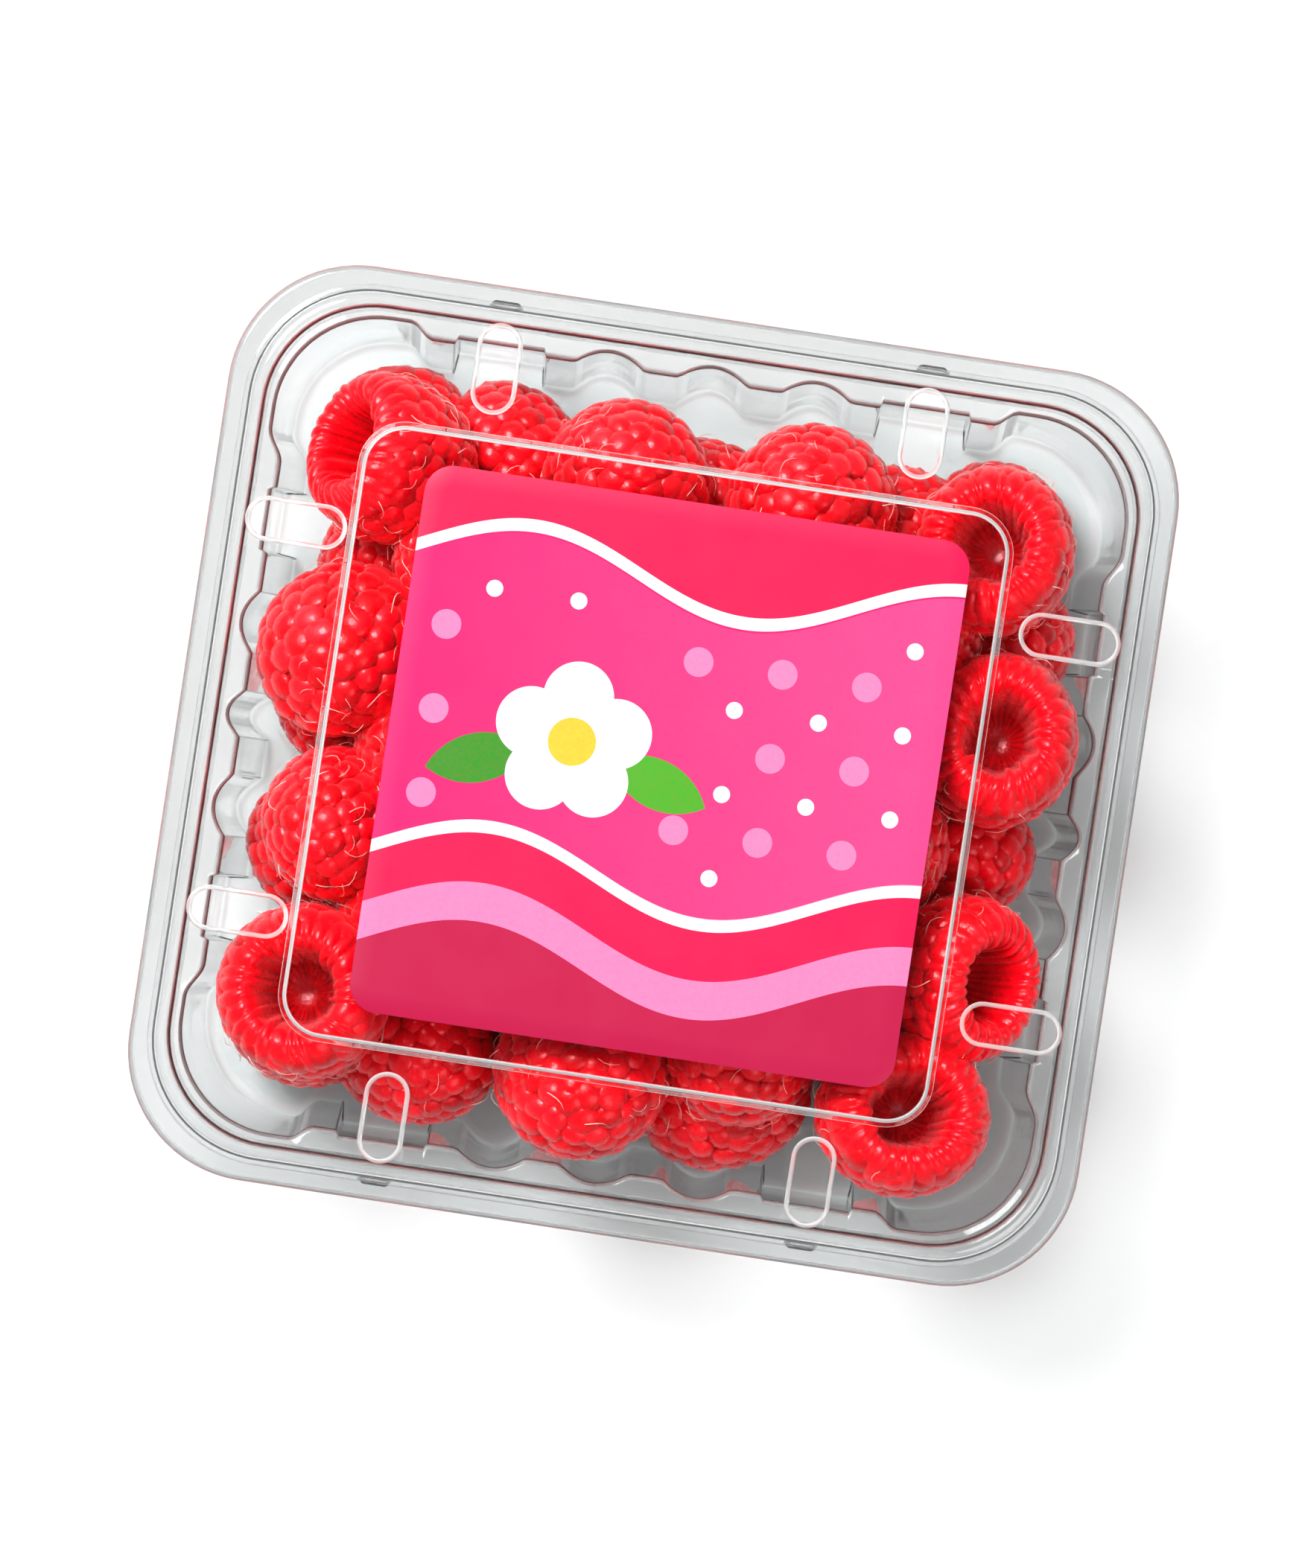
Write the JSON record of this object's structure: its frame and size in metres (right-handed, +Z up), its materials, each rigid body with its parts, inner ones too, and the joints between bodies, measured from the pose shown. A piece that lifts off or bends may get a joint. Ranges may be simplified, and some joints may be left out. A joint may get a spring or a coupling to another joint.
{
  "type": "punnet of raspberries",
  "caption": "Shut clear plastic punnet with fluted tray, vented lid with raised panel, square colour label, and a heap of raspberries inside.",
  "frame": {"origin": "on the floor under the middle of the punnet, at the tray's underside", "axes": "+Z up through the lid; +X along the longer side of the lid, to the right in the picture turned upright; +Y towards the top of the picture"},
  "size_m": [0.136, 0.131, 0.0437],
  "materials": {
    "clear_tray": "clear thermoformed sheet, glossy",
    "clear_lid": "clear thermoformed sheet, glossy",
    "label_print": "printed film sticker, satin, fields of bright pink",
    "raspberry": "soft moist fruit skin with a pale bloom"
  },
  "bodies": {
    "root": {"tray": "clear_tray", "lid": "clear_lid", "label": "label_print", "raspberries": "raspberry"}
  },
  "joints": []
}
